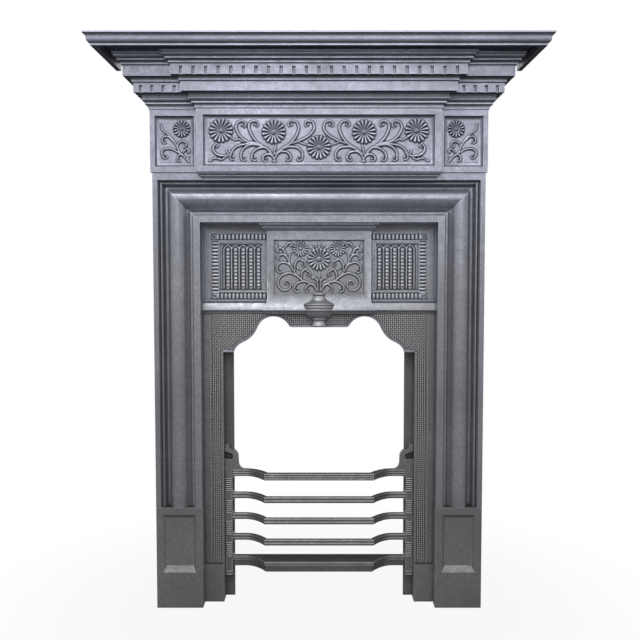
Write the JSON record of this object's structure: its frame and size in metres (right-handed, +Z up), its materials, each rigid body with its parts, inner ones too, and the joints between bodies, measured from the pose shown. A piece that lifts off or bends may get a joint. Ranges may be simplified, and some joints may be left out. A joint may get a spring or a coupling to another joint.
{
  "type": "cast iron fireplace",
  "caption": "Cast iron combination fireplace with mantel shelf, panelled frieze, moulded jambs, canopy, lift-off fire bars and a damper.",
  "frame": {"origin": "middle of the bounding box on the floor", "axes": "+Z up, +X to the right of someone facing the fire, -Y out into the room"},
  "size_m": [0.94, 0.303, 1.22],
  "materials": {
    "polished_iron": "graphite-polished castings, satin, cool light grey where they catch the light",
    "dark_iron": "graphite-polished castings, darker and duller",
    "sooty_iron": "plain castings, matt, dark from soot",
    "fastener_iron": "rough dark iron straps, pins and square-headed bolts"
  },
  "bodies": {
    "surround": {"canopy_bolt_left": "fastener_iron", "canopy_bolt_right": "fastener_iron", "canopy_front": "polished_iron", "canopy_joint_bolt_left": "fastener_iron", "canopy_joint_bolt_right": "fastener_iron", "canopy_side_left": "polished_iron", "canopy_side_right": "polished_iron", "canopy_urn": "polished_iron", "cheek_bolt_1_left": "fastener_iron", "cheek_bolt_1_right": "fastener_iron", "cheek_bolt_2_left": "fastener_iron", "cheek_bolt_2_right": "fastener_iron", "cheek_left": "sooty_iron", "cheek_right": "sooty_iron", "corner_strap_left": "fastener_iron", "corner_strap_left_bolt_1": "fastener_iron", "corner_strap_left_bolt_2": "fastener_iron", "corner_strap_right": "fastener_iron", "corner_strap_right_bolt_1": "fastener_iron", "corner_strap_right_bolt_2": "fastener_iron", "cornice": "polished_iron", "cornice_bolt_front_left": "fastener_iron", "cornice_bolt_front_right": "fastener_iron", "cornice_bolt_side_left": "fastener_iron", "cornice_bolt_side_right": "fastener_iron", "damper_pin_left": "fastener_iron", "damper_pin_right": "fastener_iron", "frieze": "polished_iron", "frieze_bolt_inner_left": "fastener_iron", "frieze_bolt_inner_right": "fastener_iron", "frieze_bolt_outer_left": "fastener_iron", "frieze_bolt_outer_right": "fastener_iron", "insert_bolt_1_left": "fastener_iron", "insert_bolt_1_right": "fastener_iron", "insert_bolt_2_left": "fastener_iron", "insert_bolt_2_right": "fastener_iron", "insert_frame": "dark_iron", "jamb_left": "polished_iron", "jamb_right": "polished_iron", "lintel": "polished_iron", "mantel_shelf": "polished_iron", "plinth_left": "dark_iron", "plinth_right": "dark_iron", "plinth_strap_left": "fastener_iron", "plinth_strap_left_bolt_1": "fastener_iron", "plinth_strap_left_bolt_2": "fastener_iron", "plinth_strap_right": "fastener_iron", "plinth_strap_right_bolt_1": "fastener_iron", "plinth_strap_right_bolt_2": "fastener_iron", "shelf_bolt_1": "fastener_iron", "shelf_bolt_2": "fastener_iron", "shelf_bolt_3": "fastener_iron", "shelf_bolt_4": "fastener_iron", "smoke_throat": "sooty_iron", "throat_bolt_left": "fastener_iron", "throat_bolt_right": "fastener_iron", "urn_bolt": "fastener_iron"},
    "bars": {"fire_bars": "dark_iron"},
    "damper": {"damper_flap": "sooty_iron"}
  },
  "joints": [
    {"name": "bars_lift", "type": "slide", "parent": "surround", "child": "bars", "axis": [0, 0, 1], "range_m": [0, 0.012]},
    {"name": "damper_swing", "type": "hinge", "parent": "surround", "child": "damper", "pos_m": [0, 0.1415, 0.8463], "axis": [-1, 0, 0], "range_deg": [0, 75]}
  ]
}
